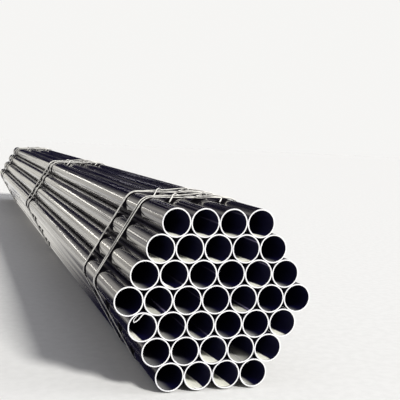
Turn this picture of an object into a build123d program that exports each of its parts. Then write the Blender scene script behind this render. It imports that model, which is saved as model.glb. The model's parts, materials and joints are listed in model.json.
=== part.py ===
"""Hexagonal bundle of plain steel pipes, held by doubled wire ties.

The pipes lie along Y in close rows, and the rows along the hexagon's flanks have one pipe fewer each.
Every tie is one wire folded double. Its fold is an eye on top of the bundle. Both strands run round the
bundle side by side, bend round the six corner pipes and hook through the eye from opposite sides. The
front strand's tail runs behind the eye and over its neck. The back strand's tail turns back in front.
X is across the bundle, Z is up, and the origin is on the floor below the bundle's middle.
"""

import math
import os

from build123d import *

os.makedirs("parts", exist_ok=True)

# Pipes
pipe_diameter = 88.9
pipe_wall = 4.0
pipe_length = 6000.0
pipe_clearance = 0.3
pipes_per_flank = 4

# Ties
wire_diameter = 5.0
wire_sides = 4
wire_clearance = 0.3
strand_gap = 0.8
outer_tie_from_end = 304.0
inner_tie_from_end = 514.0
middle_near_tie_from_end = 2675.0
middle_far_tie_from_end = 2828.0
outer_tie_fan = 23.0
inner_tie_fan = 0.5
fan_decay = 4

# Eye on top of the bundle, along X from the middle and above the strands' own height
neck_place = -42.0
eye_end = 55.0
eye_height = 18.0

# Steps of the eye and the two tails along X, along Y and up, in wire diameters
neck_side_step = 0.3
neck_rise = 1.3
front_tip = (-8.4, -8.0, 1.5)
front_round_neck = [(-4.4, -1.7, 1.8), (-2.4, 0.4, 2.6), (-0.8, 1.8, 1.7), (4.4, 1.6, 0.6)]
front_behind_eye = (-5.4, 1.5, 0.4)
front_before_eye = [(-2.0, -1.0, 1.7), (3.0, -1.8, 1.6)]
back_behind_eye = [(2.2, 1.9, 2.7), (-2.6, 2.0, 2.7)]
back_before_eye = [(-7.0, -3.6, 1.0), (10.0, -3.8, 0.8)]
back_tip = (7.0, -8.0, 4.0)

# Steps of the tails where they pass through the eye: the last number is a share of the eye's height
front_through_eye = (-3.0, 0.6, 0.39)
back_through_eye = [(-5.4, 0.2, 0.43), (-7.6, -1.8, 0.36)]

# Radii of the wire's tight bends in wire diameters
hook_bend = 0.8
eye_bend = 1.4
neck_bend = 6.0

# Worked out from the sizes above
pipe_radius = pipe_diameter / 2
bore_radius = pipe_radius - pipe_wall
pitch = pipe_diameter + pipe_clearance
row_rise = pitch * math.sqrt(3) / 2
rows_above_middle = pipes_per_flank - 1
wire_radius = wire_diameter / 2
bend_radius = pipe_radius + wire_clearance + wire_radius
top_height = rows_above_middle * row_rise + bend_radius
middle_height = top_height + wire_radius
corner_reach = rows_above_middle * pitch + bend_radius / math.cos(math.radians(30))
strand_spacing = wire_diameter + strand_gap


def row_of_pipes(row):
    """Count of the pipes in a row and the height of their axes, for row 1 at the top."""
    steps_up = pipes_per_flank - row
    count = 2 * pipes_per_flank - 1 - abs(steps_up)
    return count, middle_height + steps_up * row_rise


def corner(turn, along):
    """A corner of the strands' hexagon: turn counts sixths of a circle from +X towards +Z."""
    angle = math.radians(60 * turn)
    return (corner_reach * math.cos(angle), along, middle_height + corner_reach * math.sin(angle))


def on_top(across, along, lift):
    """A point of the route above the top row."""
    return (across, along, middle_height + top_height + lift)


def strand_offset(turn, fan):
    """Half the distance between the strands at a corner: they fan out towards the upper left corner."""
    nearness = (1 + math.cos(math.radians(60 * (turn - 2)))) / 2
    return (strand_spacing + fan * nearness**fan_decay) / 2


def rest_lift(across):
    """Height of a wire that lies on the top row, against the strands' own height: zero on a pipe's crest."""
    place = across / pitch + (pipes_per_flank - 1) / 2
    from_crest = (place - round(place)) * pitch
    return math.sqrt(bend_radius**2 - from_crest**2) - bend_radius


def stepped(start, along, step):
    """A point counted in wire diameters from a place on the eye's line."""
    across, beside, lift = step
    return on_top(start + across * wire_diameter, along + beside * wire_diameter, lift * wire_diameter)


def through_eye(along, step):
    """A point inside the eye: its height is a share of the eye's height."""
    across, beside, share = step
    return on_top(eye_end + across * wire_diameter, along + beside * wire_diameter, share * eye_height)


def tip(start, along, step):
    """The end of a tail, counted upwards from the height of a wire that lies on the top row there."""
    across, beside, lift = step
    place = start + across * wire_diameter
    return on_top(place, along + beside * wire_diameter, rest_lift(place) + lift * wire_diameter)


def tie_route(along, fan):
    """Points of one tie's wire and the bend radius at each, from one tail to the other."""
    front_tail = [
        tip(neck_place, along, front_tip),
        *[stepped(neck_place, along, step) for step in front_round_neck],
        stepped(eye_end, along, front_behind_eye),
        through_eye(along, front_through_eye),
        *[stepped(eye_end, along, step) for step in front_before_eye],
    ]
    out = [corner(turn, along - strand_offset(turn, fan)) for turn in (1, 0, 5, 4, 3, 2)]
    eye = [
        on_top(neck_place, along - neck_side_step * wire_diameter, 0),
        on_top(eye_end, along, 0),
        on_top(eye_end, along, eye_height),
        on_top(neck_place, along + neck_side_step * wire_diameter, neck_rise * wire_diameter),
    ]
    home = [corner(turn, along + strand_offset(turn, fan)) for turn in (2, 3, 4, 5, 0, 1)]
    back_tail = [
        *[stepped(eye_end, along, step) for step in back_behind_eye],
        *[through_eye(along, step) for step in back_through_eye],
        *[stepped(eye_end, along, step) for step in back_before_eye],
        tip(eye_end, along, back_tip),
    ]
    bends = [hook_bend * wire_diameter] * (len(front_tail) - 1)
    bends += [bend_radius] * len(out)
    bends += [radius * wire_diameter for radius in (neck_bend, eye_bend, eye_bend, neck_bend)]
    bends += [bend_radius] * len(home)
    bends += [hook_bend * wire_diameter] * (len(back_tail) - 1)
    return [*front_tail, *out, *eye, *home, *back_tail], bends


# Pipes, one solid each, in rows from the top down and from left to right
for row in range(1, 2 * pipes_per_flank):
    count, height = row_of_pipes(row)
    for place in range(1, count + 1):
        across = (place - (count + 1) / 2) * pitch
        with BuildPart() as pipe:
            with BuildSketch(Plane.XZ.offset(pipe_length / 2)):
                with Locations((across, height)):
                    Circle(pipe_radius)
                    Circle(bore_radius, mode=Mode.SUBTRACT)
            extrude(amount=-pipe_length)
        pipe.part.label = f"pipe_row{row}_{place}"
        export_step(pipe.part, f"parts/pipe_row{row}_{place}.step")

# Ties in pairs, near each end and about the middle: the place of each along Y and how far its strands fan out
half_length = pipe_length / 2
ties = {
    "tie_near_outer": (outer_tie_from_end - half_length, outer_tie_fan),
    "tie_near_inner": (inner_tie_from_end - half_length, inner_tie_fan),
    "tie_middle_near": (middle_near_tie_from_end - half_length, inner_tie_fan),
    "tie_middle_far": (middle_far_tie_from_end - half_length, outer_tie_fan),
    "tie_far_inner": (half_length - inner_tie_from_end, inner_tie_fan),
    "tie_far_outer": (half_length - outer_tie_from_end, outer_tie_fan),
}
for name, (along, fan) in ties.items():
    points, radii = tie_route(along, fan)
    with BuildPart() as tie:
        with BuildLine() as route:
            FilletPolyline(*points, radius=radii)
        with BuildSketch(Plane(origin=route.line @ 0, x_dir=(0, 0, 1), z_dir=route.line % 0)):
            RegularPolygon(wire_radius, wire_sides)
        sweep(path=route.line)
    tie.part.label = name
    export_step(tie.part, f"parts/{name}.step")
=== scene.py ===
"""Looks of a hexagonal bundle of steel pipes held by doubled wire ties.

Every pipe is one turned skin with rounded cut edges and an inner weld bead, and every tie is one round wire
that follows its route of runs and bends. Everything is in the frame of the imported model, and lengths are in
metres where nothing else is said.
"""

import json
import logging
import math
from dataclasses import dataclass, field
from enum import Enum

import bpy
import numpy as np
from bpy.types import ID, Material, Node, NodeSocket, NodeTree, Object
from mathutils import Matrix, Vector


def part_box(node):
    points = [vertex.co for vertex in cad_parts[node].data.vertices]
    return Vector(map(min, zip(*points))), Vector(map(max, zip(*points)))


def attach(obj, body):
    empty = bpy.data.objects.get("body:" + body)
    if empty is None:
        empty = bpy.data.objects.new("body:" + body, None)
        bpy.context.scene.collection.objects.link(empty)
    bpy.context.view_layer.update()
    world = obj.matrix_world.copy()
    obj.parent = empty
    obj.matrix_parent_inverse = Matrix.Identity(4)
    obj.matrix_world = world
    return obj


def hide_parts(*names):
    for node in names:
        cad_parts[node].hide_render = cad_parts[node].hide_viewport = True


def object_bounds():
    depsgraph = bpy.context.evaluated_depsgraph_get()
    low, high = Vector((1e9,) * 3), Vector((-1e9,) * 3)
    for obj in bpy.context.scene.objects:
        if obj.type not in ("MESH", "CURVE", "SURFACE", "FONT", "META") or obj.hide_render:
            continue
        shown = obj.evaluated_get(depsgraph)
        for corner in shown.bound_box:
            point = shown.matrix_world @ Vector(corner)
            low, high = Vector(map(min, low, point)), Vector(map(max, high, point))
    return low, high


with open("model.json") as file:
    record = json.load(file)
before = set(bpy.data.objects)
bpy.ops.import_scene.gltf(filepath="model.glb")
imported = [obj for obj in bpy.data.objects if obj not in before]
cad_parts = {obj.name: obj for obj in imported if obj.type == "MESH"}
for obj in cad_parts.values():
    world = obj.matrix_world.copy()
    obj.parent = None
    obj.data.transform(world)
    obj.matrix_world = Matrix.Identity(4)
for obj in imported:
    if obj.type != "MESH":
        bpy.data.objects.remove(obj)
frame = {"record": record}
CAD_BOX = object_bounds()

LOG = logging.getLogger("pipe_bundle")
NEAR_END, FAR_END = CAD_BOX[0][1], CAD_BOX[1][1]
BODY = "root"
IMAGE_SIDE = 400
FULL_TURN = 2 * math.pi
MM_PER_M = 1000.0
Colour = tuple[float, float, float]
Place = tuple[float, float, float]
Span = tuple[float, float]
Step = tuple[float, float, float, float]
USUAL_NOISE: Span = (0.3, 0.7)
DROP_Y: Place = (1.0, 0.0, 1.0)
# Colours of the painted dark reflections: boards and floor sheets that only the steel's gloss sees.
DARK_BOARD: Colour = (0.010, 0.009, 0.026)
DARK_LYING_REFLECTION: Colour = (0.012, 0.011, 0.028)


class BoreState(Enum):
    """A patch of painted light inside a pipe's mouth, which the front key lights as well.

    Each option gives its letter in the rows of the stack, how pale it is, where round the bore its middle is
    in degrees, how far round from there it goes at the mouth in degrees, how far in it goes at its middle in
    metres, and how soft its edge is, as a step of the cosine of the angle from its middle.
    """

    WHITE = ("w", 1.0, 226.0, 71.0, 0.48, 0.03)
    BRIGHT = ("b", 0.80, 226.0, 69.0, 0.44, 0.06)
    LOW = ("l", 1.0, 225.0, 64.0, 0.27, 0.05)
    SIDE = ("i", 0.95, 222.0, 49.0, 0.50, 0.03)
    GLOW = ("g", 0.85, 226.0, 66.0, 0.30, 0.14)
    THIN = ("t", 0.9, 226.0, 48.0, 0.14, 0.04)
    MIDDLING = ("m", 0.66, 226.0, 60.0, 0.46, 0.05)
    SLIM = ("n", 0.50, 224.0, 52.0, 0.24, 0.14)
    WIDE = ("o", 0.19, 230.0, 54.0, 0.36, 0.36)
    TURNED = ("r", 0.55, 252.0, 62.0, 0.40, 0.32)
    SATIN = ("s", 0.42, 226.0, 50.0, 0.22, 0.34)
    DARK = ("d", 0.22, 226.0, 46.0, 0.18, 0.30)


@dataclass(frozen=True)
class Shade:
    """A linear colour and how it takes light."""

    colour: Colour
    metallic: float
    roughness: float


def unit(vectors: np.ndarray) -> np.ndarray:
    """Vectors brought to length one."""
    return vectors / np.linalg.norm(vectors, axis=-1, keepdims=True)


def upright_way(degrees: float) -> Place:
    """The unit direction across the pipes at an angle from +X towards +Z."""
    return (math.cos(math.radians(degrees)), 0.0, math.sin(math.radians(degrees)))


def add_to_scene(name: str, data: ID) -> Object:
    """Make an object of a mesh, a light or a camera, and link it to the scene."""
    thing = bpy.data.objects.new(name, data)
    bpy.context.scene.collection.objects.link(thing)
    return thing


def grid_mesh(name: str, points: np.ndarray, wrap_u: bool, wrap_v: bool,
              finish_of_row: np.ndarray | None = None) -> Object:
    """Make a smooth mesh from a grid of points, where face (i, j) joins rows i, i + 1 and columns j, j + 1.

    Args:
        name: Name of the new object and its mesh.
        points: Grid of points, rows by columns by three.
        wrap_u: Join the last row to the first.
        wrap_v: Join the last column to the first.
        finish_of_row: Material slot of the faces that follow each row, or None for slot 0.

    Returns:
        The new object, linked to the scene.
    """
    index = np.arange(points[..., 0].size).reshape(points.shape[:2])
    index = np.pad(index, ((0, int(wrap_u)), (0, int(wrap_v))), mode="wrap")
    quads = np.stack([index[:-1, :-1], index[:-1, 1:], index[1:, 1:], index[1:, :-1]], axis=-1)
    mesh = bpy.data.meshes.new(name)
    mesh.from_pydata(points.reshape(-1, 3), [], quads.reshape(-1, 4), shade_flat=False)
    if finish_of_row is not None:
        per_face = np.repeat(finish_of_row[:quads.shape[0]], quads.shape[1])
        mesh.polygons.foreach_set("material_index", per_face.astype(np.int32))
    mesh.validate()
    return add_to_scene(name, mesh)


def mark_points(thing: Object, name: str, values: np.ndarray) -> None:
    """Give each point of a mesh a number that its finish can read."""
    layer = thing.data.attributes.new(name, "FLOAT", "POINT")
    layer.data.foreach_set("value", values.reshape(-1).astype(np.float32))


def carried_section(name: str, line: np.ndarray, side: np.ndarray, half_width: np.ndarray,
                    half_thick: np.ndarray, around: int, closing: float = 0.02) -> Object:
    """Carry an ellipse along a line and close both ends.

    Point (s, a) is the line at s, plus half_width(s) times cosine a along the side direction, plus
    half_thick(s) times sine a along the cross product of the tangent and the side.

    Args:
        name: Name of the new object.
        line: Points of the line.
        side: Unit side direction at each point.
        half_width: Half the ellipse's size along the side at each point.
        half_thick: Half its other size at each point.
        around: Count of points round the ellipse.
        closing: Share of its size that the ellipse keeps where it closes an end.

    Returns:
        The new object.
    """
    other = np.cross(unit(np.gradient(line, axis=0)), side)
    keep = np.pad(np.arange(len(line)), 1, mode="edge")
    scale = np.pad(np.ones(len(line)), 1, constant_values=closing)
    angle = np.linspace(0.0, FULL_TURN, around, endpoint=False)
    wide = (scale * half_width[keep])[:, None, None] * np.cos(angle)[None, :, None] * side[keep, None, :]
    thick = (scale * half_thick[keep])[:, None, None] * np.sin(angle)[None, :, None] * other[keep, None, :]
    return grid_mesh(name, line[keep, None, :] + wide + thick, False, True)


def settle(thing: Object, slot: str, materials: list[Material], *nodes: str) -> Object:
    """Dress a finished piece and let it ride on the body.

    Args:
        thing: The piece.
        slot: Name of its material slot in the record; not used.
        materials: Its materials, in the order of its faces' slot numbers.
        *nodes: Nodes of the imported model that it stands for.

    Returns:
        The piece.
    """
    for material in materials:
        thing.data.materials.append(material)
    if nodes:
        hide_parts(*nodes)
    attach(thing, BODY)
    return thing


class NodeNet:
    """A node tree with short calls for the nodes that the finishes use."""

    def __init__(self, tree: NodeTree) -> None:
        """Keep the tree that nodes are added to."""
        self.tree = tree

    def add(self, kind: str, **values: object) -> Node:
        """Add a node and set its properties.

        Args:
            kind: Blender's name of the node type.
            **values: Properties of the node.

        Returns:
            The node.
        """
        node = self.tree.nodes.new(kind)
        for key, value in values.items():
            setattr(node, key, value)
        return node

    def put(self, socket: NodeSocket, value: object) -> None:
        """Link a socket to the value if that is an output, and set it otherwise. A colour gets full alpha."""
        if isinstance(value, NodeSocket):
            self.tree.links.new(value, socket)
        else:
            socket.default_value = (*value, 1.0) if socket.type == "RGBA" else value

    def fill(self, node: Node, *values: object, **named: object) -> Node:
        """Put values into a node's inputs.

        Args:
            node: The node.
            *values: Values of its first inputs, in order.
            **named: Values of inputs by name, with underscores for the spaces in it.

        Returns:
            The node.
        """
        for socket, value in zip(node.inputs, values):
            self.put(socket, value)
        for key, value in named.items():
            self.put(node.inputs[key.replace("_", " ")], value)
        return node

    def math(self, operation: str, *values: object) -> NodeSocket:
        """Add a Math node and return its result."""
        return self.fill(self.add("ShaderNodeMath", operation=operation), *values).outputs[0]

    def times(self, first: object, *others: object) -> NodeSocket:
        """Multiply values."""
        for other in others:
            first = self.math("MULTIPLY", first, other)
        return first

    def less(self, value: object) -> NodeSocket:
        """One less the value."""
        return self.math("SUBTRACT", 1.0, value)

    def vector(self, operation: str, *values: object) -> NodeSocket:
        """Add a Vector Math node and return its result, which is a number for a dot product."""
        node = self.fill(self.add("ShaderNodeVectorMath", operation=operation), *values)
        return node.outputs["Value" if operation == "DOT_PRODUCT" else "Vector"]

    def ramp(self, value: object, low: object, high: object, start: float = 0.0,
             end: float = 1.0) -> NodeSocket:
        """Map a value smoothly from low..high to start..end and hold it outside."""
        node = self.add("ShaderNodeMapRange", interpolation_type="SMOOTHSTEP")
        return self.fill(node, value, low, high, start, end).outputs[0]

    def mix(self, share: object, first: object, second: object) -> NodeSocket:
        """Mix two colours and return the result."""
        node = self.add("ShaderNodeMix", data_type="RGBA")
        return self.fill(node, Factor=share, A=first, B=second).outputs["Result"]

    def noise(self, where: object, scale: object, detail: float = 3.0, rough: float = 0.55) -> NodeSocket:
        """Add a Noise Texture and return its value."""
        node = self.add("ShaderNodeTexNoise")
        return self.fill(node, Vector=where, Scale=scale, Detail=detail, Roughness=rough).outputs["Fac"]

    def stretched(self, where: object, stretch: object) -> NodeSocket:
        """Scale a position by a vector, so that a pattern is drawn out along an axis."""
        return self.vector("MULTIPLY", where, stretch)

    def part(self, where: object, axis: int) -> NodeSocket:
        """One coordinate of a position."""
        return self.fill(self.add("ShaderNodeSeparateXYZ"), where).outputs[axis]

    def marked(self, name: str) -> NodeSocket:
        """The number that the mesh's points carry under a name."""
        return self.add("ShaderNodeAttribute", attribute_name=name).outputs["Fac"]


def open_group(name: str, *numbers: str) -> tuple[NodeNet, dict[str, NodeSocket], NodeSocket]:
    """Start a shader node group that reads a position and some numbers, and gives one value.

    Args:
        name: Name of the group.
        *numbers: Names of its number inputs.

    Returns:
        The group's net, its inputs by name, and the socket that takes its value.
    """
    tree = bpy.data.node_groups.new(name, "ShaderNodeTree")
    kinds = {"Position": "NodeSocketVector", **dict.fromkeys(numbers, "NodeSocketFloat")}
    for key, kind in kinds.items():
        tree.interface.new_socket(key, in_out="INPUT", socket_type=kind)
    tree.interface.new_socket("Value", in_out="OUTPUT", socket_type="NodeSocketFloat")
    net = NodeNet(tree)
    entry = net.add("NodeGroupInput")
    return net, {key: entry.outputs[key] for key in kinds}, net.add("NodeGroupOutput").inputs["Value"]


@dataclass
class SteelEffects:
    """The node groups that the steel finishes share, each built once."""

    coarse_share: float = 0.6
    speck_stretch: Place = (1.0, 0.125, 1.0)
    flat_sides: tuple[float, ...] = (30.0, 90.0, 150.0)
    fan_corner: float = 120.0
    touching: Span = (0.010, 0.030)
    most_stand_off: float = 0.006
    stand_off_spread: float = 3.5
    tie_shadow_edge: Span = (0.013, 0.016)

    def __post_init__(self) -> None:
        """Build each group, with the sizes that all ties have in common."""
        self.like = Tie("", 0.0, 0.0)
        self.streaks = self._streaks()
        self.specks = self._specks()
        self.depth = self._depth()
        self.sunk = self._sunk()
        self.darkening = self._tie_shadow()

    def _from_middle(self, net: NodeNet, position: NodeSocket) -> NodeSocket:
        """A position, measured from the bundle's middle line."""
        return net.vector("SUBTRACT", position, (0.0, 0.0, self.like.middle))

    def _streaks(self) -> NodeTree:
        """Long streaks along the pipes: noise drawn out along Y, fine over coarse."""
        net, source, out = open_group("Long streaks", "Coarse", "Fine", "Stretch")
        stretch = net.fill(net.add("ShaderNodeCombineXYZ"), 1.0, source["Stretch"], 1.0)
        where = net.stretched(source["Position"], stretch.outputs[0])
        coarse = net.times(net.noise(where, source["Coarse"], 2.0), self.coarse_share)
        fine = net.times(net.noise(where, source["Fine"], 3.0), 1.0 - self.coarse_share)
        net.put(out, net.math("ADD", coarse, fine))
        return net.tree

    def _specks(self) -> NodeTree:
        """Scattered dashes: cells eight times as long as wide, where a cell's random value is low."""
        net, source, out = open_group("Specks", "Scale", "Size", "Share")
        cells = net.add("ShaderNodeTexVoronoi", feature="F1")
        net.fill(cells, Vector=net.stretched(source["Position"], self.speck_stretch), Scale=source["Scale"])
        random = net.fill(net.add("ShaderNodeSeparateColor"), cells.outputs["Color"]).outputs[0]
        chosen = net.math("LESS_THAN", random, source["Share"])
        near = net.math("LESS_THAN", cells.outputs["Distance"], source["Size"])
        net.put(out, net.times(chosen, near))
        return net.tree

    def _sunk(self) -> NodeTree:
        """How deep a point lies below the flat sides of the bundle's hexagon, in metres."""
        net, source, out = open_group("Depth below the flat sides")
        from_middle = self._from_middle(net, source["Position"])
        first, *others = [net.math("ABSOLUTE", net.vector("DOT_PRODUCT", from_middle, upright_way(side)))
                          for side in self.flat_sides]
        for other in others:
            first = net.math("MAXIMUM", first, other)
        crests = self.like.top - self.like.middle - self.like.wire_radius
        net.put(out, net.math("SUBTRACT", crests, first))
        return net.tree

    def _tie_shadow(self) -> NodeTree:
        """Painted shadow of both strands of a tie on the pipes, thickest where the wire touches them.

        It lies where the distance along Y from a strand is small. It is wider where the wire stands off the
        pipe, and fades further below the flat sides of the hexagon that the wire goes round. The strands'
        distance from the tie's middle is the tie's own.
        """
        net, source, out = open_group("Painted shadow under a tie", "Sunk", "Along", "Fan")
        like, position = self.like, source["Position"]
        touching = net.ramp(source["Sunk"], *self.touching, 1.0, 0.0)
        way = net.vector("NORMALIZE", net.stretched(self._from_middle(net, position), DROP_Y))
        facing = net.vector("DOT_PRODUCT", way, upright_way(self.fan_corner))
        nearness = net.math("POWER", net.math("MULTIPLY_ADD", facing, 0.5, 0.5), like.fan_decay)
        offset = net.math("MULTIPLY_ADD", net.times(source["Fan"], nearness), 0.5,
                          (like.diameter + like.strand_gap) / 2)
        away = net.math("ABSOLUTE", net.math("SUBTRACT", net.part(position, 1), source["Along"]))
        missed = net.math("ABSOLUTE", net.math("SUBTRACT", away, offset))
        spread = net.times(net.math("MINIMUM", source["Sunk"], self.most_stand_off), self.stand_off_spread)
        near = net.ramp(net.math("SUBTRACT", missed, spread), *self.tie_shadow_edge, 1.0, 0.0)
        net.put(out, net.times(near, touching))
        return net.tree

    def _depth(self) -> NodeTree:
        """How far a point lies behind the nearer cut end of the pipes, in metres."""
        net, source, out = open_group("Depth behind a cut end")
        net.put(out, net.math("SUBTRACT", FAR_END, net.math("ABSOLUTE", net.part(source["Position"], 1))))
        return net.tree


class Finish:
    """A material with a Principled BSDF and a net to feed it."""

    def __init__(self, name: str, shade: Shade) -> None:
        """Start a material from its plain shade.

        Args:
            name: Name of the material.
            shade: Its even colour, metallic share and roughness.
        """
        self.material = bpy.data.materials.new(name)
        self.material.use_nodes = True
        self.material.diffuse_color = (*shade.colour, 1.0)
        self.net = NodeNet(self.material.node_tree)
        self.surface = self.material.node_tree.nodes["Principled BSDF"]
        self.feed(Base_Color=shade.colour, Metallic=shade.metallic, Roughness=shade.roughness)
        coordinates = self.net.add("ShaderNodeTexCoord")
        self.position = coordinates.outputs["Object"]
        self.facing = coordinates.outputs["Normal"]

    def group(self, tree: NodeTree, **values: object) -> NodeSocket:
        """Place a shared group at this finish's position with its own values, and return its output."""
        node = self.net.add("ShaderNodeGroup", node_tree=tree)
        return self.net.fill(node, Position=self.position, **values).outputs[0]

    def feed(self, **values: object) -> None:
        """Feed the BSDF's inputs, with underscores for the spaces in their names."""
        self.net.fill(self.surface, **values)

    def bump(self, height: object, distance: float, strength: float = 1.0) -> None:
        """Raise the surface by a height from 0 to 1 times a distance in metres."""
        node = self.net.add("ShaderNodeBump")
        self.net.fill(node, Height=height, Distance=distance, Strength=strength)
        self.feed(Normal=node.outputs["Normal"])


@dataclass
class SteelFinishes:
    """All materials of the bundle, each made once.

    A span holds the two ends of a range: of noise values, cosines, depths in metres, shares or roughnesses.
    """

    effects: SteelEffects
    skin_dark: Shade = Shade((0.085, 0.080, 0.088), 1.0, 0.06)
    skin_light: Shade = Shade((0.42, 0.405, 0.375), 1.0, 0.13)
    patch_stretch: Place = (9.0, 0.7, 9.0)
    patch_share: float = 0.5
    pale_span: Span = (0.55, 0.95)
    skin_relief: float = 0.00001
    worn_end: float = 0.10
    worn_roughness: float = 0.02
    dull_scale: Colour = (0.085, 0.080, 0.105)
    dull_span: Span = (0.52, 0.62)
    dull_share: float = 0.45
    dull_tint: float = 1.6
    dull_roughness: float = 0.3
    # Painted shade: dark blue in the valleys between the pipes, strongest near both ends.
    painted_valley_shade: Shade = Shade((0.015, 0.012, 0.044), 0.0, 0.3)
    painted_valley_span: Span = (0.012, 0.028)
    painted_valley_share: float = 0.8
    valley_shade_fade: Span = (0.3, 0.8)
    valley_shade_middle: float = 0.3
    # Colour of the dirt specks, of the painted shadow under the ties and of the painted shade under the wire.
    soil_and_shade: Colour = (0.010, 0.009, 0.012)
    speck_share: float = 0.8
    cut_steel: Shade = Shade((0.80, 0.80, 0.81), 0.1, 0.45)
    sawn_tint: Colour = (0.74, 0.74, 0.75)
    sawn_stretch: Place = (1500.0, 1.0, 250.0)
    stain_tint: Colour = (0.60, 0.59, 0.64)
    stain_span: Span = (0.5, 0.75)
    stain_share: float = 0.5
    fine_relief: float = 0.0001
    # Inside of the bore: dark scale, made near-black and blue as painted shade.
    bore_scale_and_shade: Shade = Shade((0.004, 0.0035, 0.026), 0.0, 0.75)
    # Painted light: the pale patch where light falls in the mouth.
    bore_painted_light: Colour = (0.96, 0.96, 0.86)
    bore_specular: float = 0.15
    # Painted shade: a darker line at the very edge of the mouth.
    mouth_shade_span: Span = (0.004, 0.010)
    mouth_shade_share: float = 0.5
    ragged: float = 0.12
    # Painted glint along the weld bead.
    bead_glint_colour: Colour = (0.30, 0.27, 0.44)
    bead_reach: float = 0.7
    bead_shares: Span = (0.9, 0.1)
    wire_light: Shade = Shade((0.82, 0.81, 0.78), 0.35, 0.36)
    wire_dark: Shade = Shade((0.34, 0.33, 0.33), 0.35, 0.5)
    scuff_span: Span = (0.46, 0.62)
    scuff_share: float = 0.85
    wire_roughness: Span = (0.32, 0.5)
    # Painted shade on the wire's side towards the pipes.
    underside_shade_span: Span = (-0.40, 0.20)
    underside_shade_share: float = 0.96

    def skin(self) -> Material:
        """Outer mill skin: dark scale with paler drawn streaks, dull lines and dirt specks.

        It is duller by the cuts, has painted shade, darker and bluer, in the valleys near both ends, and a
        painted shadow under the ties.
        """
        finish = Finish("mill skin", self.skin_dark)
        net, effects = finish.net, self.effects
        streak = finish.group(effects.streaks, Coarse=60.0, Fine=300.0, Stretch=0.004)
        patch = net.noise(net.stretched(finish.position, self.patch_stretch), 1.0)
        pale = net.ramp(net.math("ADD", streak, net.times(patch, self.patch_share)), *self.pale_span)
        colour = net.mix(pale, self.skin_dark.colour, self.skin_light.colour)
        depth = finish.group(effects.depth)
        rough = net.ramp(streak, *USUAL_NOISE, self.skin_dark.roughness, self.skin_light.roughness)
        rough = net.math("ADD", rough, net.ramp(depth, 0.0, self.worn_end, self.worn_roughness, 0.0))
        lines = finish.group(effects.streaks, Coarse=110.0, Fine=520.0, Stretch=0.003)
        dull = net.ramp(lines, *self.dull_span, 0.0, self.dull_share)
        colour = net.mix(net.times(dull, self.dull_tint), colour, self.dull_scale)
        sunk = finish.group(effects.sunk)
        # Painted shade in the valleys, fading from both ends towards the middle.
        valley_shade = net.ramp(sunk, *self.painted_valley_span, 0.0, self.painted_valley_share)
        valley_shade = net.times(valley_shade, net.ramp(depth, *self.valley_shade_fade, 1.0, self.valley_shade_middle))
        colour = net.mix(valley_shade, colour, self.painted_valley_shade.colour)
        # Dirt specks, then the painted shadow under each tie's strands.
        speck = finish.group(effects.specks, Scale=26.0, Size=0.22, Share=0.035)
        darkening = net.times(speck, self.speck_share)
        for tie in TieSet(self).ties():
            under = finish.group(effects.darkening, Sunk=sunk, Along=tie.along, Fan=tie.fan)
            darkening = net.math("MAXIMUM", darkening, under)
        colour = net.mix(darkening, colour, self.soil_and_shade)
        metal = net.times(net.less(dull), net.less(darkening), net.less(valley_shade))
        rough = net.math("MULTIPLY_ADD", valley_shade, self.painted_valley_shade.roughness, rough)
        rough = net.math("MAXIMUM", net.math("MULTIPLY_ADD", dull, self.dull_roughness, rough), darkening)
        finish.feed(Base_Color=colour, Roughness=rough, Metallic=metal, Specular_IOR_Level=0.0)
        finish.bump(streak, self.skin_relief)
        return finish.material

    def cut(self) -> Material:
        """Sawn end face: bright steel with fine saw marks."""
        finish = Finish("cut steel", self.cut_steel)
        net = finish.net
        marks = net.noise(net.stretched(finish.position, self.sawn_stretch), 1.0, 2.0)
        stain = net.noise(finish.position, 9.0, 2.0)
        tint = net.mix(net.ramp(marks, *USUAL_NOISE), self.sawn_tint, self.cut_steel.colour)
        tint = net.mix(net.ramp(stain, *self.stain_span, 0.0, self.stain_share), tint, self.stain_tint)
        finish.feed(Base_Color=tint)
        finish.bump(marks, self.fine_relief, 0.5)
        return finish.material

    def bore(self) -> Material:
        """Inside of the pipes: dark scale and painted shade, a painted lit patch low on the left of both
        mouths, a painted glint on the bead.

        The patch is what a slanting plane cuts off: it goes in as far as the cosine of the angle from its
        middle stays above the cosine of its spread plus slant times the depth.
        """
        finish = Finish("bore scale", self.bore_scale_and_shade)
        net = finish.net
        streak = finish.group(self.effects.streaks, Coarse=70.0, Fine=300.0, Stretch=0.1)
        ragged = net.times(net.math("SUBTRACT", streak, 0.5), self.ragged)
        depth = finish.group(self.effects.depth)
        # Painted light: the pale patch that a slanting plane cuts off in the mouth.
        border = net.math("MULTIPLY_ADD", net.marked("slant"), depth, net.marked("spread"))
        within = net.math("ADD", net.math("SUBTRACT", net.marked("nearness"), border), ragged)
        edge = net.marked("edge")
        patch = net.ramp(within, net.times(edge, -1.0), edge)
        # Painted shade: darker at the very edge of the mouth.
        mouth_shade = net.ramp(depth, *self.mouth_shade_span, self.mouth_shade_share, 1.0)
        lit_tone = net.times(patch, net.marked("lit_tone"), mouth_shade)
        colour = net.mix(lit_tone, self.bore_scale_and_shade.colour, self.bore_painted_light)
        # Painted glint along the weld bead, fading deeper in.
        bead = net.times(net.marked("bead"), net.ramp(depth, 0.0, self.bead_reach, *self.bead_shares))
        finish.feed(Base_Color=net.mix(bead, colour, self.bead_glint_colour), Specular_IOR_Level=self.bore_specular)
        finish.bump(streak, self.fine_relief)
        return finish.material

    def wire(self) -> Material:
        """Drawn tie wire: pale steel with darker scuffs and painted shade on the side towards the pipes."""
        finish = Finish("tie wire", self.wire_light)
        net = finish.net
        worn = net.noise(finish.position, 16.0, 4.0, 0.65)
        scuff = net.ramp(worn, *self.scuff_span, 0.0, self.scuff_share)
        colour = net.mix(scuff, self.wire_light.colour, self.wire_dark.colour)
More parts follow.
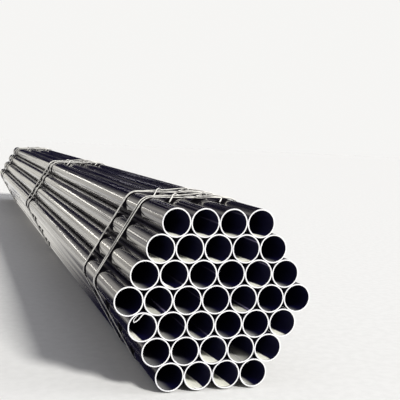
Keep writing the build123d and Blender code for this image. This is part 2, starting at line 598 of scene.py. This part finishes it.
        # Painted shade on the side that faces the pipes.
        low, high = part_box("pipe_row4_4")
        from_middle = net.vector("SUBTRACT", finish.position, (low + high) / 2)
        outwards = net.vector("NORMALIZE", net.stretched(from_middle, DROP_Y))
        turned = net.vector("DOT_PRODUCT", finish.facing, outwards)
        under = net.ramp(turned, *self.underside_shade_span, self.underside_shade_share, 0.0)
        rough = net.ramp(worn, *USUAL_NOISE, *self.wire_roughness)
        finish.feed(Base_Color=net.mix(under, colour, self.soil_and_shade), Roughness=rough)
        finish.bump(net.noise(finish.position, 900.0, 2.0), self.fine_relief, 0.3)
        return finish.material


@dataclass
class Pipe:
    """One pipe as a skin turned about its axis, with rounded cut edges and a weld bead in its bore."""

    node: str
    bore_radius: float
    state: BoreState
    bead_angle: float
    bead_glint: float
    edge_round: float = 0.0007
    bead_height: float = 0.0011
    bead_half_width: float = 0.0022
    around: int = 96
    bead_columns: int = 9
    edge_steps: int = 3
    long_support: float = 0.002
    rim_support: float = 0.00015

    def __post_init__(self) -> None:
        """Read the axis, radius and ends of the pipe from its node's box."""
        low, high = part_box(self.node)
        self.radius = (high.x - low.x) / 2
        self.axis_x = (high.x + low.x) / 2
        self.axis_z = (high.z + low.z) / 2
        self.near, self.far = low.y, high.y

    def profile(self) -> tuple[np.ndarray, np.ndarray]:
        """Closed profile of radius and place along Y, with the finish of each stretch.

        The four edges are quarter circles: centre plus edge_round times (cosine, sine) of the swept angle.
        Two more points stand on each straight stretch, close to the edges, so that its shading stays flat.

        Returns:
            Points of the profile, and the material slot of the stretch after each point.
        """
        skin, cut, bore = 0, 1, 2
        edge, gap, thin = self.edge_round, self.long_support, self.rim_support
        sweep = np.linspace(0.0, np.pi / 2, self.edge_steps + 1)
        outer, inner = self.radius - edge, self.bore_radius + edge
        stretches = (
            (outer, self.near + edge, -np.pi / 2,
             (self.radius, self.near + edge + gap), (self.radius, self.far - edge - gap), skin),
            (outer, self.far - edge, 0.0, (outer - thin, self.far), (inner + thin, self.far), cut),
            (inner, self.far - edge, np.pi / 2,
             (self.bore_radius, self.far - edge - gap), (self.bore_radius, self.near + edge + gap), bore),
            (inner, self.near + edge, np.pi, (inner + thin, self.near), (outer - thin, self.near), cut),
        )
        points, finish = [], []
        for r, y, start, first, last, slot in stretches:
            points += [np.column_stack([r + edge * np.cos(start + sweep), y + edge * np.sin(start + sweep)])]
            points += [np.array([first, last])]
            finish += [np.full(self.edge_steps, cut), np.full(3, slot)]
        return np.vstack(points), np.concatenate(finish)

    def angles(self) -> np.ndarray:
        """Even steps round the pipe, with a few close steps over the bead."""
        even = np.linspace(-np.pi, np.pi, self.around, endpoint=False)
        reach = 2 * self.bead_half_width / self.bore_radius
        over_bead = np.linspace(-reach, reach, self.bead_columns)
        clear = np.abs(even) > reach + FULL_TURN / self.around / 4
        return self.bead_angle + np.sort(np.concatenate([even[clear], over_bead]))

    def build(self, materials: list[Material]) -> Object:
        """Turn the profile about the pipe's axis.

        Point (t, a) is the axis plus r(t, a) times (cosine a, sine a), where r is the profile's radius, less
        the bead's height times a bell curve of the angle from the bead wherever the profile runs in the bore.

        Args:
            materials: Skin, cut steel and bore, in slot order.

        Returns:
            The pipe's object.
        """
        profile, finish = self.profile()
        angle = self.angles()
        sigma = self.bead_half_width / self.bore_radius
        bell = np.exp(-((angle - self.bead_angle) / sigma) ** 2)
        over_bead = np.isclose(profile[:, :1], self.bore_radius) * bell[None, :]
        radius = profile[:, :1] - self.bead_height * over_bead
        points = np.stack([
            self.axis_x + radius * np.cos(angle),
            np.broadcast_to(profile[:, 1:2], radius.shape),
            self.axis_z + radius * np.sin(angle),
        ], axis=-1)
        thing = grid_mesh(self.node + "_skin", points, True, True, finish)
        _, lit_tone, middle, spread, reach, edge = self.state.value
        spread = math.cos(math.radians(spread))
        # Marks for the painted glint along the bead and the painted lit patch in the mouth.
        marks = {"bead": self.bead_glint * over_bead, "lit_tone": lit_tone,
                 "nearness": np.cos(angle - math.radians(middle)),
                 "spread": spread, "slant": (1.0 - spread) / reach, "edge": edge}
        for name, values in marks.items():
            mark_points(thing, name, np.broadcast_to(values, radius.shape))
        return settle(thing, "pipe_steel", materials, self.node)


@dataclass
class Burr:
    """A sliver of steel that the saw peeled off the inner edge of a near cut end.

    Its points are given as angles round the bore in degrees and distances off the bore's wall in millimetres.
    """

    node: str
    angles: tuple[float, ...]
    pulls: tuple[float, ...]
    half_width: float
    depth: float = 0.005
    half_thick: float = 0.0004
    steps: int = 6
    around: int = 10
    taper: float = 0.85

    def _line(self, bore_radius: float) -> np.ndarray:
        """Points across and up of a smooth line through the given ones.

        Between points b and c, with neighbours a and d, the Catmull-Rom curve at share t is half of
        2b + (c - a)t + (2a - 5b + 4c - d)t^2 + (3b - a - 3c + d)t^3.

        Args:
            bore_radius: Radius of the bore in metres.

        Returns:
            The line's points, measured from the bore's axis.
        """
        angle = np.radians(self.angles)
        radius = bore_radius - np.array(self.pulls) / MM_PER_M
        points = np.column_stack([radius * np.cos(angle), radius * np.sin(angle)])
        points = np.vstack([2 * points[0] - points[1], points, 2 * points[-1] - points[-2]])
        a, b, c, d = (points[start:len(points) - 3 + start, None] for start in range(4))
        t = np.linspace(0.0, 1.0, self.steps, endpoint=False)[None, :, None]
        curve = 2 * b + (c - a) * t
        curve += (2 * a - 5 * b + 4 * c - d) * t ** 2 + (3 * b - a - 3 * c + d) * t ** 3
        return np.vstack([curve.reshape(-1, 2) / 2, points[-2]])

    def build(self, bore_radius: float, material: Material) -> Object:
        """Carry a flat ellipse along the line, tapering to its end and sinking behind the cut.

        Args:
            bore_radius: Radius of the bore in metres.
            material: The cut steel.

        Returns:
            The sliver's object.
        """
        low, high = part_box(self.node)
        flat = self._line(bore_radius)
        share = np.linspace(0.0, 1.0, len(flat))
        line = np.column_stack([(low.x + high.x) / 2 + flat[:, 0],
                                low.y + 3 * self.half_thick + self.depth * share,
                                (low.z + high.z) / 2 + flat[:, 1]])
        side = unit(np.cross(np.gradient(line, axis=0), (0.0, 1.0, 0.0)))
        width = self.half_width * (1.0 - self.taper * share ** 4)
        thick = np.full(len(line), self.half_thick)
        thing = carried_section(f"{self.node}_burr", line, side, width, thick, self.around)
        return settle(thing, "pipe_steel", [material])


@dataclass
class PipeStack:
    """All pipes of the bundle, row 1 at the top, each row counted from the left.

    A row's letters are those of its bores' states. A listed bead has an angle in degrees and a plain painted
    glint, the others a faint one.
    """

    finishes: SteelFinishes
    rows: tuple[str, ...] = ("llgl", "wwlws", "stsdls", "dmssbdd", "isndsl", "oowrl", "dwwn")
    glinting_beads: dict[str, float] = field(default_factory=lambda: {
        "pipe_row4_2": -56.0, "pipe_row4_5": -59.0, "pipe_row2_4": 30.0, "pipe_row3_5": 37.0,
        "pipe_row7_2": 29.0, "pipe_row6_3": 33.0, "pipe_row7_3": 30.0,
    })
    faint_bead_glint: float = 0.25
    seed: int = 11

    def burrs(self) -> list[Burr]:
        """The slivers on the near ends: a long curled one and three short ones."""
        return [
            Burr("pipe_row5_1", (60.0, 75.0, 86.0, 96.0, 111.0, 133.0, 150.0, 141.0, 123.0, 106.0),
                 (0.0, 0.3, 1.5, 6.8, 13.5, 15.5, 11.5, 7.0, 5.0, 1.2), 0.0016),
            Burr("pipe_row7_2", (280.0, 271.0, 262.0, 254.0), (0.0, 0.8, 2.2, 4.0), 0.0016),
            Burr("pipe_row3_2", (210.0, 222.0, 234.0, 246.0), (0.0, 0.8, 2.2, 4.0), 0.0018),
            Burr("pipe_row7_4", (205.0, 218.0, 232.0, 245.0), (0.0, 0.6, 1.6, 3.0), 0.0010),
        ]

    def build(self) -> list[Object]:
        """Build every pipe with its bore's patch, and the slivers."""
        bore_radius = frame["record"]["mounts"][0]["dims"]["r_mm"] / MM_PER_M
        states = {state.value[0]: state for state in BoreState}
        rng = np.random.default_rng(self.seed)
        materials = [self.finishes.skin(), self.finishes.cut(), self.finishes.bore()]
        made = []
        for row, letters in enumerate(self.rows, start=1):
            for place, letter in enumerate(letters, start=1):
                node = f"pipe_row{row}_{place}"
                drawn = rng.uniform(-180.0, 180.0)
                bead = math.radians(self.glinting_beads.get(node, drawn))
                shows = 1.0 if node in self.glinting_beads else self.faint_bead_glint
                made.append(Pipe(node, bore_radius, states[letter], bead, shows).build(materials))
        made += [burr.build(bore_radius, materials[1]) for burr in self.burrs()]
        LOG.info("built %d pieces of the pipe stack", len(made))
        return made


@dataclass
class Tie:
    """One wire folded double round the bundle, as a round section carried along runs and bends."""

    node: str
    along: float
    fan: float
    wire_radius: float = 0.0025
    shown_radius: float = 0.0024
    wire_clearance: float = 0.0003
    strand_gap: float = 0.0008
    fan_decay: int = 4
    neck_place: float = -0.042
    eye_end: float = 0.055
    eye_height: float = 0.018
    neck_side_step: float = 0.3
    neck_rise: float = 1.3
    hook_bend: float = 0.8
    eye_bend: float = 1.4
    neck_bend: float = 6.0
    around: int = 16
    bend_step: float = math.radians(6.0)
    tight_bend_step: float = math.radians(15.0)
    run_step: float = 0.02

    def __post_init__(self) -> None:
        """Read the sizes of the stack from the frame. The eye's height in wire diameters is called tall."""
        top, end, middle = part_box("pipe_row1_1"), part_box("pipe_row4_7"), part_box("pipe_row4_4")
        self.pipe_radius = (end[1].x - end[0].x) / 2
        self.half_row = (end[1].x + end[0].x) / 2
        self.middle = (middle[1].z + middle[0].z) / 2
        self.pitch = self.half_row / 3
        self.top_row_start = (top[1].x + top[0].x) / 2
        self.bend_radius = self.pipe_radius + self.wire_clearance + self.wire_radius
        self.corner_reach = self.half_row + self.bend_radius / math.cos(math.radians(30))
        self.top = (top[1].z + top[0].z) / 2 + self.bend_radius
        self.diameter = 2 * self.wire_radius
        self.tall = self.eye_height / self.diameter

    def corner(self, turn: int, along: float) -> Place:
        """A corner of the strands' hexagon, counted in sixths of a circle from +X towards +Z."""
        angle = math.radians(60 * turn)
        return (self.corner_reach * math.cos(angle), along,
                self.middle + self.corner_reach * math.sin(angle))

    def strand_offset(self, turn: int) -> float:
        """Half the distance between the strands at a corner: they fan out towards the upper left corner."""
        nearness = (1 + math.cos(math.radians(60 * (turn - 2)))) / 2
        return (self.diameter + self.strand_gap + self.fan * nearness ** self.fan_decay) / 2

    def rest_lift(self, across: float) -> float:
        """Height of a wire that lies on the top row, against the strands' own height."""
        place = (across - self.top_row_start) / self.pitch
        from_crest = (place - round(place)) * self.pitch
        return math.sqrt(self.bend_radius ** 2 - from_crest ** 2) - self.bend_radius

    def stepped(self, *steps: Step) -> list[Place]:
        """Points given as a place along the eye's line and steps across, beside and up in wire diameters."""
        return [(start + across * self.diameter, self.along + beside * self.diameter,
                 self.top + lift * self.diameter) for start, across, beside, lift in steps]

    def tip(self, start: float, across: float, beside: float, lift: float) -> Step:
        """The end of a tail, counted upwards from the height of a wire that lies on the top row there."""
        return start, across, beside, lift + self.rest_lift(start + across * self.diameter) / self.diameter

    def front_tail(self) -> list[Place]:
        """The tail that runs behind the eye, over its neck and down into a valley at the front left."""
        neck, eye, tall = self.neck_place, self.eye_end, self.tall
        return self.stepped(
            self.tip(neck, -8.4, -8.0, 1.5), (neck, -4.4, -1.7, 1.8), (neck, -2.4, 0.4, 2.6),
            (neck, -0.8, 1.8, 1.7), (neck, 4.4, 1.6, 0.6), (eye, -5.4, 1.5, 0.4),
            (eye, -3.0, 0.6, 0.39 * tall), (eye, -2.0, -1.0, 1.7), (eye, 3.0, -1.8, 1.6))

    def back_tail(self) -> list[Place]:
        """The tail that comes through the eye to the front and turns back to the right."""
        eye, tall = self.eye_end, self.tall
        return self.stepped(
            (eye, 2.2, 1.9, 2.7), (eye, -2.6, 2.0, 2.7), (eye, -5.4, 0.2, 0.43 * tall),
            (eye, -7.6, -1.8, 0.36 * tall), (eye, -7.0, -3.6, 1.0), (eye, 10.0, -3.8, 0.8),
            self.tip(eye, 7.0, -8.0, 4.0))

    def route(self) -> tuple[np.ndarray, np.ndarray]:
        """Points of the wire's route and the bend radius at each inner point."""
        front, back = self.front_tail(), self.back_tail()
        turns = (1, 0, 5, 4, 3, 2)
        out = [self.corner(turn, self.along - self.strand_offset(turn)) for turn in turns]
        home = [self.corner(turn, self.along + self.strand_offset(turn)) for turn in reversed(turns)]
        start, end, side = self.neck_place, self.eye_end, self.neck_side_step
        eye = self.stepped((start, 0.0, -side, 0.0), (end, 0.0, 0.0, 0.0), (end, 0.0, 0.0, self.tall),
                           (start, 0.0, side, self.neck_rise))
        hook, neck, bow = (bend * self.diameter for bend in (self.hook_bend, self.neck_bend, self.eye_bend))
        radii = [hook] * (len(front) - 1) + [self.bend_radius] * len(out) + [neck, bow, bow, neck]
        radii += [self.bend_radius] * len(home) + [hook] * (len(back) - 1)
        return np.array([*front, *out, *eye, *home, *back]), np.array(radii)

    def centreline(self) -> np.ndarray:
        """Sample the route as straight runs joined by tangent arcs.

        At each inner point, the arc starts and ends radius times the tangent of half the turn from the point,
        and its centre lies on the bisector of the two runs.
        """
        points, radii = self.route()
        way = unit(np.diff(points, axis=0))
        before, after = way[:-1], way[1:]
        turn = np.arccos(np.clip((before * after).sum(1), -1.0, 1.0))
        cut = radii * np.tan(turn / 2)
        start = points[1:-1] - cut[:, None] * before
        inward = unit(after - before * np.cos(turn)[:, None])
        centre = start + radii[:, None] * inward
        pieces = [points[:1]]
        for index, angle in enumerate(turn):
            step = self.bend_step if radii[index] > 2 * self.diameter else self.tight_bend_step
            steps = max(2, int(math.ceil(angle / step)))
            swept = np.linspace(0.0, angle, steps + 1)[:, None]
            arc = np.sin(swept) * before[index] - np.cos(swept) * inward[index]
            pieces.append(centre[index] + radii[index] * arc)
        pieces.append(points[-1:])
        return self._split_runs(np.vstack(pieces))

    def _split_runs(self, line: np.ndarray) -> np.ndarray:
        """Add points on long runs, so that no step is longer than run_step.

        Args:
            line: Points of the line.

        Returns:
            Points of the same line, with the new ones among them.
        """
        steps = np.linalg.norm(np.diff(line, axis=0), axis=1)
        arc = np.concatenate([[0.0], np.cumsum(steps)])
        counts = np.maximum(1, np.ceil(steps / self.run_step).astype(int))
        places = np.concatenate([np.linspace(a, b, n, endpoint=False)
                                 for a, b, n in zip(arc[:-1], arc[1:], counts)] + [arc[-1:]])
        return np.column_stack([np.interp(places, arc, line[:, axis]) for axis in range(3)])

    def build(self, material: Material) -> Object:
        """Carry a circle along the centreline, turned as little as the path allows.

        Args:
            material: The wire's finish.

        Returns:
            The tie's object.
        """
        line = self.centreline()
        tangent = unit(np.gradient(line, axis=0))
        side = np.zeros_like(line)
        side[0] = unit(np.cross(tangent[0], (0.0, 0.0, 1.0)))
        for ring in range(1, len(line)):
            side[ring] = unit(side[ring - 1] - tangent[ring] * (side[ring - 1] @ tangent[ring]))
        radius = np.full(len(line), self.shown_radius)
        thing = carried_section(self.node + "_wire", line, side, radius, radius, self.around)
        return settle(thing, "tie_wire", [material], self.node)


@dataclass
class TieSet:
    """The six ties of the bundle, in pairs near both ends and about the middle."""

    finishes: SteelFinishes
    outer_from_end: float = 0.304
    inner_from_end: float = 0.514
    middle_near_from_end: float = 2.675
    middle_far_from_end: float = 2.828
    outer_fan: float = 0.023
    inner_fan: float = 0.0005

    def ties(self) -> list[Tie]:
        """Each tie with its place along Y and how far its strands fan out."""
        return [
            Tie("tie_near_outer", NEAR_END + self.outer_from_end, self.outer_fan),
            Tie("tie_near_inner", NEAR_END + self.inner_from_end, self.inner_fan),
            Tie("tie_middle_near", NEAR_END + self.middle_near_from_end, self.inner_fan),
            Tie("tie_middle_far", NEAR_END + self.middle_far_from_end, self.outer_fan),
            Tie("tie_far_inner", FAR_END - self.inner_from_end, self.inner_fan),
            Tie("tie_far_outer", FAR_END - self.outer_from_end, self.outer_fan),
        ]

    def build(self) -> list[Object]:
        """Build every tie from one wire finish."""
        wire = self.finishes.wire()
        made = [tie.build(wire) for tie in self.ties()]
        LOG.info("built %d ties", len(made))
        return made


@dataclass(frozen=True)
class Lamp:
    """A soft rectangular lamp: where it stands, what it faces, its size, and how bright its face is."""

    name: str
    place: Place
    aim: Place
    size: Span
    radiance: float
    colour: Colour

    def build(self) -> None:
        """Place the lamp. A face of radiance L and area A takes 4 A L watts."""
        data = bpy.data.lights.new(self.name, "AREA")
        data.shape = "RECTANGLE"
        data.size, data.size_y = self.size
        data.energy = 4.0 * self.size[0] * self.size[1] * self.radiance
        data.color = self.colour
        lamp = add_to_scene(self.name, data)
        facing = (Vector(self.aim) - Vector(self.place)).to_track_quat("-Z", "Y")
        lamp.matrix_world = Matrix.Translation(self.place) @ facing.to_matrix().to_4x4()
        lamp.visible_camera = False


@dataclass(frozen=True)
class DistantLight:
    """An even light from far away: where it comes from, how strong it is, and how soft its shadows are.

    One that isn't mirrored gives no glint on the steel, so that it lights the pipes alike along their length.
    """

    name: str
    way: Place
    strength: float
    spread: float
    colour: Colour = (1.0, 1.0, 1.0)
    mirrored: bool = True

    def build(self) -> None:
        """Turn the light towards the origin."""
        data = bpy.data.lights.new(self.name, "SUN")
        data.energy = self.strength
        data.angle = math.radians(self.spread)
        data.color = self.colour
        lamp = add_to_scene(self.name, data)
        lamp.matrix_world = Vector(self.way).to_track_quat("Z", "Y").to_matrix().to_4x4()
        lamp.visible_glossy = self.mirrored


@dataclass(frozen=True)
class Flag:
    """A glowing board that only the gloss of the steel sees, a painted reflection: upright behind the bundle,
    or lying on the floor.

    An upright board goes from start to end in height at a place along Y. A lying one goes from start to end
    along Y at a small height. Its colour fades from the first to the last between two places, along X where
    it stands and along Y where it lies. Slats are the share by which level stripes darken it.
    """

    name: str
    left: float
    right: float
    start: float
    end: float
    place: float
    first_colour: Colour
    last_colour: Colour
    fade: Span = (0.0, 1.0)
    lying: bool = False
    slats: float = 0.0
    slat_stretch: Place = (0.05, 0.0, 14.0)
    slat_span: Span = (0.35, 0.65)

    def build(self) -> None:
        """Set the board up and shade it from its first colour to its last."""
        corners = np.array([[(x, self.place, reach) for x in (self.left, self.right)]
                            for reach in (self.start, self.end)])
        if self.lying:
            corners = corners[..., [0, 2, 1]]
        board = grid_mesh(self.name, corners, False, False)
        black = (0.0, 0.0, 0.0)
        finish = Finish(self.name, Shade(black, 0.0, 1.0))
        net = finish.net
        share = net.ramp(net.part(finish.position, 1 if self.lying else 0), *self.fade)
        glow = net.mix(share, self.first_colour, self.last_colour)
        if self.slats:
            level = net.noise(net.stretched(finish.position, self.slat_stretch), 1.0)
            glow = net.mix(net.ramp(level, *self.slat_span, 1.0 - self.slats, 1.0), black, glow)
        finish.feed(Emission_Color=glow, Emission_Strength=1.0, Specular_IOR_Level=0.0)
        board.data.materials.append(finish.material)
        board.visible_camera = board.visible_diffuse = board.visible_shadow = False


@dataclass
class Studio:
    """Pale floor, soft lights and the photograph's camera."""

    focal_pixels: float = 742.03
    sensor: float = 36.0
    camera_place: Place = (-0.7498, -5.0645, 0.4854)
    camera_right: Place = (0.949466, -0.309782, 0.050493)
    camera_up: Place = (-0.021413, 0.096566, 0.995096)
    view_reach: float = 100.0
    floor_side: float = 80.0
    floor_shade: Shade = Shade((0.8, 0.8, 0.79), 0.0, 0.9)
    floor_dark: Colour = (0.78, 0.78, 0.77)
    floor_light: Colour = (0.82, 0.82, 0.81)
    sky_seen: Colour = (0.92, 0.915, 0.90)
    sky_white: Colour = (1.0, 0.975, 0.90)
    sky_diffuse: Colour = (0.34, 0.34, 0.36)
    lamps: tuple[Lamp, ...] = (
        Lamp("edge strip", (-1.9, 7.9, 1.6), (-0.4, -3.0, 0.4), (2.6, 0.12), 4.5, (1.0, 0.98, 0.9)),
        Lamp("right strip", (1.4, 7.9, 2.6), (0.0, -3.0, 0.5), (2.6, 0.06), 1.2, (0.9, 0.88, 1.0)),
    )
    # Painted reflections: glowing boards and floor sheets that only the steel's gloss sees; the dark ones
    # stand in for dark surroundings.
    flags: tuple[Flag, ...] = (
        Flag("graded board", -3.2, -0.6, 1.55, 6.0, 8.0, (0.50, 0.485, 0.475), DARK_BOARD, (-2.4, -0.4)),
        Flag("dark board", -0.6, 9.0, 0.0, 6.0, 8.0, DARK_BOARD, DARK_BOARD),
        Flag("slatted board", -9.0, -0.6, 0.0, 1.55, 8.0, (0.66, 0.64, 0.62), (1.0, 0.975, 0.90),
             (-4.4, -1.2), slats=0.25),
        Flag("cloth at left", -6.0, -0.14, -3.6, 3.0, 0.003, DARK_LYING_REFLECTION, (0.90, 0.88, 0.83), (-2.0, 0.3),
             lying=True),
        Flag("cloth behind", -0.14, 9.0, 3.2, 8.0, 0.003, DARK_LYING_REFLECTION, DARK_LYING_REFLECTION, lying=True),
    )
    distant: tuple[DistantLight, ...] = (
        DistantLight("front key", (0.36, -0.76, 0.54), 3.9, 11.0, (1.0, 0.985, 0.95), mirrored=False),
        DistantLight("side light", (0.88, -0.12, 0.46), 0.9, 45.0),
    )

    def floor(self) -> None:
        """A wide pale floor."""
        half = self.floor_side / 2
        corners = np.array([[(x, y, 0.0) for x in (-half, half)] for y in (half, -half)])
        floor = grid_mesh("floor", corners, False, False)
        finish = Finish("pale floor", self.floor_shade)
        grain = finish.net.ramp(finish.net.noise(finish.position, 30.0, 4.0), *USUAL_NOISE)
        colour = finish.net.mix(grain, self.floor_dark, self.floor_light)
        finish.feed(Base_Color=colour, Specular_IOR_Level=0.0)
        floor.data.materials.append(finish.material)

    def camera(self) -> None:
        """Stand the camera where the photograph's perspective puts it, measured from the middle pipe."""
        low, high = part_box("pipe_row4_4")
        middle = Vector((0.0, 0.0, (low.z + high.z) / 2))
        right = Vector(self.camera_right).normalized()
        back = right.cross(Vector(self.camera_up)).normalized()
        data = bpy.data.cameras.new("photo view")
        data.sensor_width = self.sensor
        data.lens = self.focal_pixels / IMAGE_SIDE * self.sensor
        data.clip_end = self.view_reach
        camera = add_to_scene("photo view", data)
        turned = Matrix((right, back.cross(right), back)).transposed().to_4x4()
        camera.matrix_world = Matrix.Translation(Vector(self.camera_place) + middle) @ turned
        bpy.context.scene.camera = camera

    def sky(self) -> None:
        """A world that is pale to the camera, white to gloss and glass, and a weaker even light elsewhere."""
        world = bpy.data.worlds.new("studio sky")
        bpy.context.scene.world = world
        world.use_nodes = True
        net = NodeNet(world.node_tree)
        background = world.node_tree.nodes["Background"]
        paths = net.add("ShaderNodeLightPath")
        mirrored = net.math("MAXIMUM", paths.outputs["Is Glossy Ray"], paths.outputs["Is Transmission Ray"])
        glow = net.mix(mirrored, self.sky_diffuse, self.sky_white)
        net.fill(background, Color=net.mix(paths.outputs["Is Camera Ray"], glow, self.sky_seen), Strength=1.0)

    def build(self) -> None:
        """Set the view transform, the camera, the floor and the lights."""
        bpy.context.scene.view_settings.view_transform = "Standard"
        self.camera()
        self.floor()
        self.sky()
        for piece in (*self.distant, *self.lamps, *self.flags):
            piece.build()


def main() -> None:
    """Build the studio, the pipes and the ties."""
    logging.basicConfig(level=logging.INFO, format="%(name)s: %(message)s")
    finishes = SteelFinishes(SteelEffects())
    Studio().build()
    PipeStack(finishes).build()
    TieSet(finishes).build()


if __name__ == "__main__":
    main()
